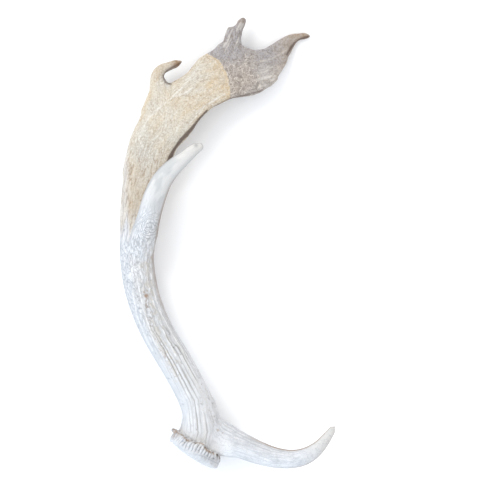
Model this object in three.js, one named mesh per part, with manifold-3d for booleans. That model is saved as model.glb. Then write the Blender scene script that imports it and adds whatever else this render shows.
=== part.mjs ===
// A cast fallow deer antler, lying on its rear edge on a level surface.
// Millimetres. +Y runs up the antler from the coronet to the palm, +X to the brow tine, +Z up.
// The antler grew in one piece. It is split only at its main forks: the beam with its coronet,
// the brow tine, the trez tine, the palm, and the palm's three points.

import * as THREE from 'three';
import { mergeVertices } from 'three/addons/utils/BufferGeometryUtils.js';
import Module from 'manifold-3d';

const wasm = await Module();
wasm.setup();

// Driving dimensions.
const FORK_GAP = 0.3;             // clearance between two pieces that meet at a fork
const CORONET_RADIUS = 30.8;      // half the coronet's width across the beaded rim
const CORONET_DEPTH_RATIO = 0.92; // the coronet is slightly oval
const CORONET_HEIGHT = 11;        // from the cast face to the top of the beads
const CORONET_BEADS = 17;         // knobs round the rim
const BEAD_RELIEF = 1.1;          // how far a knob stands proud of the grooves beside it
const REAR_KNOB = 0.55;           // how much taller the coronet is on the rear side, as a share
const CORONET_LEAN = 33;          // degrees between the cast end's axis and +Y
const PALM_START = 2;             // where along Y the beam opens into the palm
const CORONET_PLACE = [-38.9, -233.8, 29]; // the middle of the cast face
const REACH = 300;                // more than the antler reaches from the middle

// Stations along each limb, from its root to its tip:
// [x, y, z of the middle, half width, half thickness, roll in degrees].
// The roll lifts the side that lies to the right when looking from the root to the tip.
const BEAM = [
  [-40, -235, 29, 24, 23, 0],
  [-35, -224, 29, 22.8, 21.5, 0],
  [-30.6, -208, 29, 21.4, 20, 0],
  [-29, -190, 28.4, 20.4, 18.6, 0],
  [-34.8, -173.5, 27.8, 18.2, 17.2, 0],
  [-44.6, -153.5, 27, 17.8, 16.8, 0],
  [-56.6, -132, 26.5, 18, 16.6, 0],
  [-67.2, -114.5, 25.5, 18, 16.4, 0],
  [-76.8, -98, 24, 17.8, 16.2, 0],
  [-85.3, -80, 22, 17.7, 16, 0],
  [-92, -62, 20, 17.9, 15.8, 2],
  [-96.5, -43, 17.8, 18.3, 15.6, 4],
  [-99, -25, 15.8, 18.5, 15.4, 6],
  [-99.8, -6, 15, 18.9, 14.8, 8],
  [-99.5, 12, 15.2, 19.1, 13.2, 10],
];
const PALM = [
  [-97.3, 39, 16.8, 20.6, 10.8, 12],
  [-93.3, 63, 19.5, 22.2, 9.2, 14],
  [-88.7, 86, 23, 24, 8.2, 16],
  [-80.7, 107, 26.5, 26.6, 7.6, 17],
  [-71, 126, 29.5, 28.9, 7.2, 17],
  [-59, 144, 31.5, 30.4, 7, 16],
  [-43.4, 157.6, 32, 25.6, 6.8, 14],
  [-27.5, 169.5, 31, 24.2, 6.6, 12],
  [-11.5, 183, 29, 28.4, 6.4, 9],
  [7, 188, 25.6, 28.6, 6.2, 6],
  [23.5, 188.4, 21.8, 27, 6, 3],
  [37.6, 192.6, 17.6, 22, 5.6, 0],
  [49, 200, 13.6, 15.8, 5, -4],
  [57, 208.2, 10, 12.4, 4.6, -8],
  [63.6, 217, 7.2, 9.6, 4.2, -14],
];
const BROW_TINE = [
  [-34, -204, 28.5, 18, 17, 0],
  [-16, -211, 29.5, 20.8, 16, 0],
  [2, -218.6, 31, 17.6, 13.2, 0],
  [14, -222.5, 32, 14.4, 12, 0],
  [26, -227.5, 34, 13.2, 11.3, 0],
  [37, -231.5, 36, 12.4, 10.8, 0],
  [48, -235, 38, 11.4, 10.2, 0],
  [60, -237.2, 40.5, 10.6, 9.6, 0],
  [71, -237.6, 43, 10, 9, 0],
  [81, -236, 45.5, 9.6, 8.4, 0],
  [90, -232.2, 48, 8.8, 7.6, 0],
  [98, -226.4, 50.5, 7.5, 6.6, 0],
  [104.7, -219.8, 52.5, 6.1, 5.4, 0],
  [110.2, -212.8, 54.5, 4.8, 4.2, 0],
  [114.4, -207, 56, 3.8, 3.3, 0],
  [118.2, -201.2, 57.5, 2.9, 2.5, 0],
];
const TREZ_TINE = [
  [-98, -26, 18, 13, 12, 0],
  [-93.5, -6, 25.5, 15.4, 13, 0],
  [-90, 13, 34, 14, 12.4, 0],
  [-85.5, 30.5, 42, 12.8, 11.6, 0],
  [-80, 49, 50, 12.4, 11, 0],
  [-72.7, 66, 57, 11.4, 10.2, 0],
  [-64.2, 77.5, 62, 10.2, 9.2, 0],
  [-55, 86.3, 66, 8.9, 8, 0],
  [-45.4, 95, 69.5, 7.9, 6.9, 0],
  [-37, 101.7, 72, 6.6, 5.7, 0],
  [-29.4, 107.4, 73.5, 4.7, 4.1, 0],
];
const BACK_TINE = [
  [-64, 146, 29.5, 18, 6, 14],
  [-70.5, 160, 27.5, 17, 5.8, 12],
  [-75.6, 173.6, 25, 10.2, 5.4, 6],
  [-77, 183.6, 23.5, 7.3, 5, 0],
  [-72.8, 190.6, 23, 5.8, 4.5, 0],
  [-65.5, 193.8, 23, 4.9, 3.9, 0],
  [-58, 196.4, 23.5, 4.2, 3.2, 0],
  [-50.5, 199.6, 24.5, 2, 1.7, 0],
];
const UPPER_SPELLER = [
  [-4, 190, 27.5, 16, 5.6, 4],
  [-0.5, 203, 25, 17, 5.5, 2],
  [2.5, 210.5, 23.5, 15, 5.2, 0],
  [5.2, 216, 22.5, 11.6, 5, -2],
  [5.6, 222, 21.5, 9.7, 4.8, -4],
  [6.6, 228, 20.5, 9, 4.6, -4],
  [8.6, 233.4, 19.5, 8.6, 4.4, -4],
  [12.2, 238.2, 18.5, 6.4, 3.8, -4],
  [15.6, 242.6, 17.5, 3.8, 3, -4],
  [18, 248, 16.5, 2, 1.9, -4],
];
const END_SPELLER = [
  [55, 205.6, 11, 12.2, 4.4, -6],
  [62, 215, 7.9, 10.4, 4.2, -14],
  [68.2, 221.6, 5.8, 8, 3.8, -24],
  [74, 225.6, 4.6, 5.6, 3.5, -30],
  [79, 227.4, 4.2, 3.7, 3, -30],
  [84.5, 228, 3.8, 3, 2.6, -30],
  [91, 228, 3.6, 1.9, 1.9, -30],
];

const TIP_ROUNDING = 3;  // rings over which a limb's end closes
const ROUND = 2;         // the bluntness of an elliptic section
const ROUND_RATIO = 1.2; // a section up to this much wider than thick is elliptic
const BLADE = 3.2;       // the bluntness of the palm's section: flat, with a round rim
const BLADE_RATIO = 2.6; // a section this much wider than thick is a blade

// A limb is a sphere drawn out along its stations: the sphere's v runs from root to tip, and its
// u runs round the section. A section much wider than it is thick is blunt, as the palm's is.
// grow adds a clearance all round.
function limb(stations, sides, rings, grow = 0) {
  const middle = new THREE.CatmullRomCurve3(
    stations.map(([x, y, z]) => new THREE.Vector3(x, y, z)),
    false,
    'catmullrom',
  );
  const section = new THREE.CatmullRomCurve3(
    stations.map(([, , , width, thickness, roll]) => new THREE.Vector3(width, thickness, roll)),
    false,
    'catmullrom',
  );
  const geometry = new THREE.SphereGeometry(1, sides, rings);
  const uv = geometry.attributes.uv;
  const position = geometry.attributes.position;
  const up = new THREE.Vector3(0, 0, 1);
  for (let i = 0; i < position.count; i += 1) {
    const angle = uv.getX(i) * 2 * Math.PI;
    const along = Math.round((1 - uv.getY(i)) * rings) / rings;
    const toEnd = Math.min(along, 1 - along) * rings;
    const closing = Math.sqrt(1 - (1 - Math.min(1, toEnd / TIP_ROUNDING)) ** 2);
    const [width, thickness, roll] = section.getPoint(along).toArray();
    const ratio = THREE.MathUtils.clamp(width / thickness, ROUND_RATIO, BLADE_RATIO);
    const blunt = THREE.MathUtils.mapLinear(ratio, ROUND_RATIO, BLADE_RATIO, ROUND, BLADE);
    const tangent = middle.getTangent(along);
    const right = new THREE.Vector3().crossVectors(tangent, up).normalize();
    right.applyAxisAngle(tangent, -THREE.MathUtils.degToRad(roll));
    const over = new THREE.Vector3().crossVectors(right, tangent);
    const point = middle.getPoint(along);
    point.addScaledVector(right, superellipse(Math.cos(angle), blunt) * (width + grow) * closing);
    point.addScaledVector(over, superellipse(Math.sin(angle), blunt) * (thickness + grow) * closing);
    position.setXYZ(i, point.x, point.y, point.z);
  }
  return solid(geometry);
}

// One coordinate of a blunt outline, from the cosine or the sine of its angle.
function superellipse(value, blunt) {
  return Math.sign(value) * Math.abs(value) ** (2 / blunt);
}

// A closed solid from a three.js geometry, with its shared corners merged.
function solid(geometry) {
  geometry.deleteAttribute('normal');
  geometry.deleteAttribute('uv');
  const merged = mergeVertices(geometry, 1e-4);
  const corners = [];
  for (let i = 0; i < merged.index.count; i += 3) {
    const [a, b, c] = merged.index.array.slice(i, i + 3);
    if (a !== b && b !== c && c !== a) corners.push(a, b, c);
  }
  return new wasm.Manifold(new wasm.Mesh({
    numProp: 3,
    vertProperties: new Float32Array(merged.attributes.position.array),
    triVerts: new Uint32Array(corners),
  }));
}

// The coronet: a turned disc on the slightly domed cast face, its rim drawn out into knobs.
function coronet(grow = 0) {
  const h = CORONET_HEIGHT;
  const r = CORONET_RADIUS;
  const profile = [
    [0, -0.22 * h - grow],
    [0.5 * r, -0.18 * h - grow],
    [0.82 * r, -grow],
    [0.97 * r + grow, 0.22 * h],
    [r + grow, 0.5 * h],
    [0.95 * r + grow, 0.8 * h],
    [0.82 * r, h + grow],
    [0.6 * r, 1.2 * h + grow],
    [0, 1.3 * h + grow],
  ];
  const geometry = new THREE.LatheGeometry(
    profile.map(([x, y]) => new THREE.Vector2(x, y)),
    CORONET_BEADS * 4,
  );
  const position = geometry.attributes.position;
  for (let i = 0; i < position.count; i += 1) {
    const x = position.getX(i);
    const z = position.getZ(i);
    const radius = Math.hypot(x, z);
    const rim = THREE.MathUtils.smoothstep(radius, 0.7 * r, 0.95 * r);
    const relief = rim * BEAD_RELIEF * Math.cos(CORONET_BEADS * Math.atan2(z, x));
    const scale = 1 + relief / r;
    const rear = THREE.MathUtils.smoothstep(-x / r, 0.5, 0.95);
    position.setX(i, x * scale);
    position.setY(i, position.getY(i) * (1 + REAR_KNOB * rear));
    position.setZ(i, z * scale * CORONET_DEPTH_RATIO);
  }
  geometry.rotateZ(-THREE.MathUtils.degToRad(CORONET_LEAN));
  geometry.translate(...CORONET_PLACE);
  return solid(geometry);
}

// Everything on one side of a level line across the antler.
function slab(from, to) {
  const geometry = new THREE.BoxGeometry(2 * REACH, to - from, 2 * REACH);
  geometry.translate(0, (from + to) / 2, 0);
  return solid(geometry);
}

// The largest of the bodies that a cut leaves.
function largest(manifold) {
  const bodies = manifold.decompose();
  return bodies.reduce((big, body) => (body.volume() > big.volume() ? body : big));
}

// The beam and the palm are one stem, split across where the beam opens into the palm.
const STEM_SIDES = 26;
const STEM_RINGS = 66;
const stem = limb([...BEAM, ...PALM], STEM_SIDES, STEM_RINGS);
const stemRoom = limb([...BEAM, ...PALM], STEM_SIDES, STEM_RINGS, FORK_GAP).add(coronet(FORK_GAP));
const pieces = {
  beam: stem.intersect(slab(-REACH, PALM_START - FORK_GAP / 2)).add(coronet()),
  brow_tine: limb(BROW_TINE, 18, 24).subtract(stemRoom),
  trez_tine: limb(TREZ_TINE, 18, 22).subtract(stemRoom),
  palm: stem.intersect(slab(PALM_START + FORK_GAP / 2, REACH)),
  back_tine: limb(BACK_TINE, 14, 14).subtract(stemRoom),
  upper_speller: limb(UPPER_SPELLER, 16, 20).subtract(stemRoom),
  end_speller: limb(END_SPELLER, 12, 16).subtract(stemRoom),
};

// The colours of the three zones that the antler has weathered into.
const BLEACHED = { color: 0xdcdcda, roughness: 0.55 };
const TAN = { color: 0xc4b497, roughness: 0.6 };
const GREY = { color: 0x968b83, roughness: 0.65 };
const FINISHES = {
  beam: BLEACHED,
  brow_tine: BLEACHED,
  trez_tine: BLEACHED,
  palm: TAN,
  back_tine: TAN,
  upper_speller: GREY,
  end_speller: GREY,
};

// The antler's frame: the surface it lies on is z = 0, below the middle of its outline.
const extent = wasm.Manifold.union(Object.values(pieces)).boundingBox();
const middleX = (extent.min[0] + extent.max[0]) / 2;
const middleY = (extent.min[1] + extent.max[1]) / 2;

const antler = new THREE.Group();
for (const [name, manifold] of Object.entries(pieces)) {
  const { vertProperties, triVerts } = largest(manifold).getMesh();
  const geometry = new THREE.BufferGeometry();
  geometry.setAttribute('position', new THREE.BufferAttribute(vertProperties, 3));
  geometry.setIndex(new THREE.BufferAttribute(triVerts, 1));
  geometry.translate(-middleX, -middleY, -extent.min[2]);
  geometry.computeVertexNormals();
  const material = new THREE.MeshStandardMaterial({ ...FINISHES[name], metalness: 0 });
  const mesh = new THREE.Mesh(geometry, material);
  mesh.name = name;
  antler.add(mesh);
}

export default antler;
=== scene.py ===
"""A cast fallow deer antler, lying on its rear edge under a studio camera that looks straight down."""

import math

import bpy
import numpy as np
import openvdb
from mathutils import Matrix, Vector


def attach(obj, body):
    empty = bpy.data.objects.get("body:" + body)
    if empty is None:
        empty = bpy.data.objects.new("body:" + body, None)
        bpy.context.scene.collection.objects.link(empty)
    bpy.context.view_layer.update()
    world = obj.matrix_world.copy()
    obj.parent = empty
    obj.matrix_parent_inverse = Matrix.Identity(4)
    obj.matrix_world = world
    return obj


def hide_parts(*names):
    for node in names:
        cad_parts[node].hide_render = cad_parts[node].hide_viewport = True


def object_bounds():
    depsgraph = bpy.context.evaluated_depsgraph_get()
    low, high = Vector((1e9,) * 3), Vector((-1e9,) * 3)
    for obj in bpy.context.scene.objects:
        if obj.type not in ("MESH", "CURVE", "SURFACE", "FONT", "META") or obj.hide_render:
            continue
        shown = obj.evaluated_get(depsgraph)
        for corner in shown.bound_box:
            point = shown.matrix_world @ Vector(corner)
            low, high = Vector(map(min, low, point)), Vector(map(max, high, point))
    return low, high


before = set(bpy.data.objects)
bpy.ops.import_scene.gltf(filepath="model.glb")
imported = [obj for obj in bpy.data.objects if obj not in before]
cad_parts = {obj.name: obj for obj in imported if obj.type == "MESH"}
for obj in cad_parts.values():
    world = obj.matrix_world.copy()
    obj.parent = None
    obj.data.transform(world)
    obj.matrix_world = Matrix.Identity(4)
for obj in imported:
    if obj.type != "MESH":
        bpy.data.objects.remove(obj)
cad_low, cad_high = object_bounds()

# ---------------------------------------------------------------------------------------------
# The coronet's pearls. Round the cast end stands a ring of bone whose rim is a row of small lumps,
# the pearls, each drawn out along the beam, with a narrow cleft between it and the next. They grow
# as part of the ring, so further down they are fused into the beam.

MM = 0.001
CORONET_LEAN = math.radians(33)  # between the cast end's axis and +Y
CORONET_AXIS = Vector((math.sin(CORONET_LEAN), math.cos(CORONET_LEAN), 0))
CORONET_ACROSS = Vector((math.cos(CORONET_LEAN), -math.sin(CORONET_LEAN), 0))
CORONET_FACE = Vector((-38.7, -233.5, 29.2))  # the middle of the cast face, in millimetres
CORONET_OVAL = 0.92  # its depth as a share of its width
CORONET_FRAME = Matrix.Translation(CORONET_FACE) @ Matrix((
    (CORONET_ACROSS.x, 0, CORONET_AXIS.x, 0),
    (CORONET_ACROSS.y, 0, CORONET_AXIS.y, 0),
    (0, -1, 0, 0),
    (0, 0, 0, 1),
))


def add_node(tree, kind, inputs, **settings):
    """A node with its settings made. Each input is linked from a node or a socket, or set to a value."""
    made = tree.nodes.new(kind)
    for name, value in settings.items():
        setattr(made, name, value)
    for name, value in inputs.items():
        if isinstance(value, bpy.types.Node):
            tree.links.new(value.outputs[0], made.inputs[name])
        elif isinstance(value, bpy.types.NodeSocket):
            tree.links.new(value, made.inputs[name])
        else:
            made.inputs[name].default_value = value
    return made


def new_object(name, data):
    """A new object in the scene."""
    made = bpy.data.objects.new(name, data)
    bpy.context.collection.objects.link(made)
    return made


def pearl_ring_tree():
    """Geometry nodes: lumps side by side round an oval, each a little off its place and size."""
    tree = bpy.data.node_groups.new("pearl_ring", "GeometryNodeTree")
    sizes = (("Count", "NodeSocketInt"), ("Seed", "NodeSocketInt"), ("Radius", "NodeSocketFloat"),
             ("Oval", "NodeSocketFloat"), ("Pearl size", "NodeSocketVector"),
             ("Stray", "NodeSocketVector"), ("Material", "NodeSocketMaterial"))
    for name, kind in sizes:
        tree.interface.new_socket(name, in_out="INPUT", socket_type=kind)
    tree.interface.new_socket("Geometry", in_out="OUTPUT", socket_type="NodeSocketGeometry")
    given = tree.nodes.new("NodeGroupInput").outputs

    def node(kind, inputs, **settings):
        return add_node(tree, kind, inputs, **settings)

    def random_vector(low, high, offset):
        seed = node("ShaderNodeMath", {0: given["Seed"], 1: offset}, operation="ADD")
        limits = {"Min": low, "Max": high, "Seed": seed}
        return node("FunctionNodeRandomValue", limits, data_type="FLOAT_VECTOR")

    def vectors(operation, first, second):
        return node("ShaderNodeVectorMath", {0: first, 1: second}, operation=operation)

    ring = node("GeometryNodeMeshCircle", {"Vertices": given["Count"], "Radius": given["Radius"]})
    oval = node("ShaderNodeCombineXYZ", {"X": 1, "Y": given["Oval"], "Z": 1})
    flattened = node("GeometryNodeTransform", {"Geometry": ring, "Scale": oval})
    stray = vectors("MULTIPLY", given["Stray"], random_vector((-1, -1, -1), (1, 1, 1), 1))
    moved = node("GeometryNodeSetPosition", {"Geometry": flattened, "Offset": stray})
    place = node("ShaderNodeSeparateXYZ", {0: node("GeometryNodeInputPosition", {})}).outputs
    bearing = node("ShaderNodeMath", {0: place["Y"], 1: place["X"]}, operation="ARCTAN2")
    facing = node("ShaderNodeCombineXYZ", {"Z": bearing})
    tilted = vectors("ADD", facing, random_vector((-0.25, -0.1, -0.2), (0.25, 0.1, 0.2), 2))
    sized = vectors("MULTIPLY", given["Pearl size"], random_vector((0.8, 0.75, 0.7), (1.1, 1.2, 1.2), 3))
    lump = node("GeometryNodeMeshUVSphere", {"Segments": 16, "Rings": 12, "Radius": 0.5})
    pearls = node("GeometryNodeInstanceOnPoints",
                  {"Points": moved, "Instance": lump, "Rotation": tilted, "Scale": sized})
    real = node("GeometryNodeRealizeInstances", {0: pearls})
    finished = node("GeometryNodeSetMaterial", {"Geometry": real, "Material": given["Material"]})
    node("NodeGroupOutput", {0: finished})
    return tree


def pearl_ring(tree, material, middle, **inputs):
    """The corners and triangles, in millimetres, of one ring of pearls round a middle."""
    holder = new_object("pearls", bpy.data.meshes.new("pearls"))
    grown = holder.modifiers.new("pearls", "NODES")
    grown.node_group = tree
    sockets = {item.name: item.identifier for item in tree.interface.items_tree}
    grown[sockets["Material"]] = material
    for name, value in inputs.items():
        grown[sockets[name.replace("_", " ").capitalize()]] = value
    bpy.context.view_layer.update()
    shape = bpy.data.meshes.new_from_object(holder.evaluated_get(bpy.context.evaluated_depsgraph_get()))
    holder.modifiers.remove(grown)
    bpy.data.objects.remove(holder)
    shape.transform(CORONET_FRAME @ Matrix.Translation(middle))
    corners, triangles = corners_and_triangles(shape, 1)
    across = (corners - np.array(CORONET_FACE)) @ np.array(CORONET_ACROSS)
    height = (corners - np.array(CORONET_FACE)) @ np.array(CORONET_AXIS)
    corners = corners + coronet_rise(across)[:, None] * np.array(CORONET_AXIS)
    corners = corners - coronet_lean(across, height)[:, None] * np.array(CORONET_ACROSS)
    return corners.astype(np.float32), triangles


def coronet_rise(across):
    """How much further up the beam the ring reaches on its right side."""
    return 0.08 * np.clip(across + 8, 0, None)


def coronet_lean(across, height):
    """How far the ring's right side leans in over the beam as it rises."""
    return 0.3 * np.clip(height - 4, 0, None) * np.clip(across / 27, 0, 1)


def coronet_lip(across):
    """The height of the plain lip below the pearls, which is widest on the right."""
    return 0.8 + 3.4 * ramp(across, -6, 14)


def ramp(value, start, end):
    """0 up to start, 1 from end on, and a smooth rise between them."""
    t = np.clip((value - start) / (end - start), 0, 1)
    return t * t * (3 - 2 * t)


def corners_and_triangles(mesh, scale):
    """A mesh's corners, times scale, and its triangles, as arrays."""
    mesh.calc_loop_triangles()
    corners = np.empty(len(mesh.vertices) * 3, np.float32)
    mesh.vertices.foreach_get("co", corners)
    triangles = np.empty(len(mesh.loop_triangles) * 3, np.int32)
    mesh.loop_triangles.foreach_get("vertices", triangles)
    return corners.reshape(-1, 3) * scale, triangles.reshape(-1, 3).astype(np.uint32)


CORONET_TEETH = 50
# Each ring's middle, count, seed, radius and oval, then a pearl's size and how far it strays.
PEARL_RINGS = (
    ((0, 0, 4.0), 64, 4, 27.9, CORONET_OVAL, (5.2, 4.2, 8.0), (0.4, 0.4, 0.5)),
    ((0, 0, 9.4), CORONET_TEETH, 3, 27.3, CORONET_OVAL, (6.2, 3.5, 8.2), (0.6, 0.6, 1.3)),
    ((0, 0, 11.2), 41, 11, 25.6, CORONET_OVAL, (5.4, 3.4, 5.6), (0.8, 0.8, 1.5)),
    ((2, -22.5, 14.5), 7, 2, 3.6, 0.5, (4.4, 3.2, 6.2), (0.8, 0.8, 1.2)),
    ((-27, -7, 12.5), 6, 5, 3.2, 1.4, (5.0, 4.4, 4.8), (1.0, 1.5, 1.0)),
    ((-28, 5, 12.0), 6, 8, 3.4, 1.4, (4.2, 3.8, 4.4), (1.0, 1.5, 1.0)),
)
antler_finish = bpy.data.materials.new("weathered_antler")
pearl_tree = pearl_ring_tree()
pearl_rings = [pearl_ring(pearl_tree, antler_finish, middle, count=count, seed=seed, radius=radius, oval=oval,
                          pearl_size=size, stray=stray)
               for middle, count, seed, radius, oval, size, stray in PEARL_RINGS]

# ---------------------------------------------------------------------------------------------
# The bone. An antler grows in one piece, so its surface is made in one: the solid pieces are closed
# over their forks, with a small web in each crotch, softened, and fused with the pearls.

VOXEL = 0.74  # the grid that the surface is made on, in millimetres
WEB = 3.0        # radius of the web in a crotch
SOFTNESS = 1.2   # how far the bone's edges are rounded
MARGIN = 6.0     # of the grid round the antler
SWELL = 0.3      # how far the surface stands out, before its marks are cut into it
grid_low = np.floor((np.array(cad_low) / MM - MARGIN) / VOXEL).astype(int)
grid_high = np.ceil((np.array(cad_high) / MM + MARGIN) / VOXEL).astype(int)
grid_shape = grid_high - grid_low + 1
grid_start = tuple(int(v) for v in grid_low)
grid_step = openvdb.createLinearTransform(voxelSize=VOXEL)


def level_set(corners, triangles, quads, reach):
    """The distance to a closed surface, out to reach millimetres on either side."""
    faces = {"triangles": triangles, "quads": quads}
    faces = {kind: made for kind, made in faces.items() if made is not None and len(made)}
    band = math.ceil(reach / VOXEL)
    return openvdb.FloatGrid.createLevelSetFromPolygons(
        corners, transform=grid_step, halfWidth=band, **faces)


def dense(grid):
    """A level set's values over the whole grid."""
    values = np.empty(grid_shape, np.float32)
    grid.copyToArray(values, ijk=grid_start)
    return values


def blurred(field, spread):
    """The field with every value mixed with those within a few spreads of it, in millimetres."""
    reach = math.ceil(2.6 * spread / VOXEL)
    weights = np.exp(-0.5 * (np.arange(-reach, reach + 1) * VOXEL / spread) ** 2)
    weights = (weights / weights.sum()).astype(np.float32)
    for axis in range(3):
        widened = np.pad(field, [(reach, reach) if a == axis else (0, 0) for a in range(3)], mode="edge")
        widened = np.moveaxis(widened, axis, 0)
        size = field.shape[axis]
        mixed = weights[0] * widened[:size]
        for n in range(1, 2 * reach + 1):
            mixed += weights[n] * widened[n:n + size]
        field = np.moveaxis(mixed, 0, axis)
    return field


def closed_over(pieces, web):
    """The distance to the pieces taken together, with every crease filled to a radius of web."""
    starts = np.cumsum([0] + [len(corners) for corners, _ in pieces])
    corners = np.concatenate([corners for corners, _ in pieces])
    triangles = np.concatenate([faces + start for (_, faces), start in zip(pieces, starts)])
    outer = level_set(corners, triangles.astype(np.uint32), None, web + 3 * VOXEL)
    outer_corners, outer_triangles, outer_quads = outer.convertToPolygons(isovalue=web)
    return dense(level_set(outer_corners, outer_triangles, outer_quads, web + 5)) + web


def grid_places(box):
    """The places of a box of grid points, in millimetres."""
    steps = [np.arange(part.start, part.stop) for part in box]
    return ((np.stack(np.meshgrid(*steps, indexing="ij"), -1) + grid_low) * VOXEL).astype(np.float32)


def box_round(middle, reach):
    """The grid points within reach of a place on each axis."""
    low = np.maximum(np.floor((np.array(middle) - reach) / VOXEL).astype(int) - grid_low, 0)
    high = np.minimum(np.ceil((np.array(middle) + reach) / VOXEL).astype(int) - grid_low, grid_shape)
    return tuple(slice(start, end) for start, end in zip(low, high))


def from_place(box, place):
    """How far a box's grid points lie from a place, or from an upright line where it is x and y alone."""
    return np.linalg.norm(grid_places(box)[..., :len(place)] - np.array(place, np.float32), axis=-1)


def nearest_on(points, line):
    """For each point: how far the line is, and the line's way, length so far, width and place there."""
    stations = np.array(line, np.float32)
    nearest = np.full(len(points), np.inf, np.float32)
    way = np.zeros((len(points), 3), np.float32)
    passed = np.zeros(len(points), np.float32)
    width = np.zeros(len(points), np.float32)
    middle = np.zeros((len(points), 3), np.float32)
    length = 0.0
    for start, end in zip(stations, stations[1:]):
        run = end[:3] - start[:3]
        span = np.linalg.norm(run)
        share = np.clip((points - start[:3]) @ run / span ** 2, 0, 1)
        foot = start[:3] + share[:, None] * run
        distance = np.linalg.norm(points - foot, axis=1)
        closer = distance < nearest
        nearest[closer] = distance[closer]
        way[closer] = run / span
        passed[closer] = (length + share * span)[closer]
        width[closer] = (start[3] + share * (end[3] - start[3]))[closer]
        middle[closer] = foot[closer]
        length += span
    return nearest, way, passed, width, middle


# For each fork: its middle, the tine that leaves there, how far its web reaches, and the web's radius.
FORKS = (((-8, -198, 34), "brow_tine", 34, 7.5), ((-7, -226, 38), "brow_tine", 21, 11),
         ((-90, -24, 26), "trez_tine", 24, 7))
# Along these lines the bone is a little fuller than the solid pieces: x, y, z and half its thickness.
FULLER = (((30, 208.8, 17.5, 3.5), (42, 210.6, 15, 3.5), (50, 215.4, 11.5, 3.4), (58, 220.3, 9, 3.6)),
          ((46.2, 174.8, 17.4, 3.2), (49.6, 178.2, 16.6, 3.2), (52.9, 181.6, 15.6, 3.2)),
          ((-14.4, 156.3, 34.5, 6), (-1.2, 162.9, 32.5, 6), (8, 166.5, 29.5, 6)),
          ((-89, 144, 24.2, 5.8), (-84.3, 157, 24.5, 5.0), (-82, 163, 25, 5.0)),
          ((-96.5, 126.7, 22.2, 4.9), (-102, 113.7, 20.6, 4.9), (-105.3, 101, 19.2, 4.9),
           (-108.3, 88, 18.2, 4.9), (-110.4, 76, 17.2, 4.9)),
          ((-34, 102, 71.5, 4.2), (-30.4, 105, 72.5, 3.7)),
          ((98, -224, 49, 4.6), (107, -214.5, 53, 4.5), (114.9, -204.4, 56.8, 2.6)),
          ((16, 241, 17.5, 3.2), (18, 245.4, 17, 2.0)))
SPELLER_HOLLOW = (3.5, 247)  # the upper speller is hollow on its left, where it narrows to its tip
SPELLER_HOLLOW_RADIUS = 9.3
TREZ_BAY = (9.6, -18)        # the beam's right side runs on into the trez tine in one hollow curve
TREZ_BAY_RADIUS = 90.3
# The tips, which are softened less than the rest, and by how much each then stands out further.
TIPS = (((18, 248, 17), 0.7), ((91, 228, 4), 0.6), ((118, -201, 58), 0.4), ((-29, 108, 74), 0.7),
        ((-50, 200, 25), 0.7))
TIP_SOFTNESS = 0.55

solids = {name: corners_and_triangles(node.data, 1 / MM) for name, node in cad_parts.items()}
bone = closed_over(list(solids.values()), WEB)
for fork, tine, reach, web in FORKS:
    box = box_round(fork, reach + 4)
    joined = [solids["beam"], solids[tine]]
    if tine == "trez_tine":
        joined.append(solids["palm"])
    filled = closed_over(joined, web)
    share = 1 - ramp(from_place(box, fork), 0.55 * reach, reach)
    bone[box] = np.minimum(bone[box], bone[box] * (1 - share) + filled[box] * share)
for line in FULLER:
    ends = np.array(line)[:, :3]
    box = box_round((ends.min(0) + ends.max(0)) / 2, np.ptp(ends, axis=0) / 2 + 12)
    places = grid_places(box)
    apart, _, _, width, _ = nearest_on(places.reshape(-1, 3), line)
    bone[box] = np.minimum(bone[box], (apart - width).reshape(places.shape[:3]))
box = box_round((*SPELLER_HOLLOW, 20), 16)
bone[box] = np.maximum(bone[box], SPELLER_HOLLOW_RADIUS - from_place(box, SPELLER_HOLLOW))
box = box_round((-80, -10, 30), 30)
bay_edge = TREZ_BAY_RADIUS - 3 * ramp(np.abs(grid_places(box)[..., 1] + 10), 14, 26)
bone[box] = np.maximum(bone[box], bay_edge - from_place(box, TREZ_BAY))
sharp = bone
bone = blurred(bone, SOFTNESS)
for tip, swell in TIPS:
    box = box_round(tip, 15)
    share = 1 - ramp(from_place(box, tip), 6, 14)
    bone[box] = bone[box] * (1 - share) + (blurred(sharp[box], TIP_SOFTNESS) - swell) * share


def coronet_coordinates(points):
    """Each point's distance out from the coronet's axis, height above the cast face, and bearing."""
    local = points - np.array(CORONET_FACE, np.float32)
    across = local @ np.array(CORONET_ACROSS, np.float32)
    height = local @ np.array(CORONET_AXIS, np.float32)
    deep = local[..., 2] / CORONET_OVAL
    return np.hypot(across, deep), height, np.arctan2(deep, across)


# Round the rim the plain ring is drawn in, and the pearls take its place. Below them a lip of plain
# bone runs round one side of the cast face.
FUSE = 0.25  # how far a pearl's foot is fused into the ring
ring = box_round(CORONET_FACE, 44)
plain_ring = bone[ring].copy()
places = grid_places(ring)
out, height, bearing = coronet_coordinates(places)
lip = coronet_lip(np.cos(bearing) * out)
rise = coronet_rise(np.cos(bearing) * out)
rim = ramp(out, 20, 24.5) * ramp(height - lip, 0, 1.6) * (1 - ramp(height - rise, 13, 17))
drawn_in = 0.9 + 0.7 * ramp(height - rise, 4.5, 7) + 0.8 * coronet_lean(np.cos(bearing) * out, height)
near = bone[ring] + drawn_in * rim
for pearl_corners, pearl_faces in pearl_rings:
    pearls = np.clip(dense(level_set(pearl_corners, pearl_faces, None, 3))[ring], -2.5, 2.5)
    pearls = blurred(pearls, 0.3)
    meeting = np.maximum(FUSE - np.abs(near - pearls), 0) / FUSE
    near = np.minimum(near, pearls) - meeting ** 2 * FUSE / 4
bone[ring] = near

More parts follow.
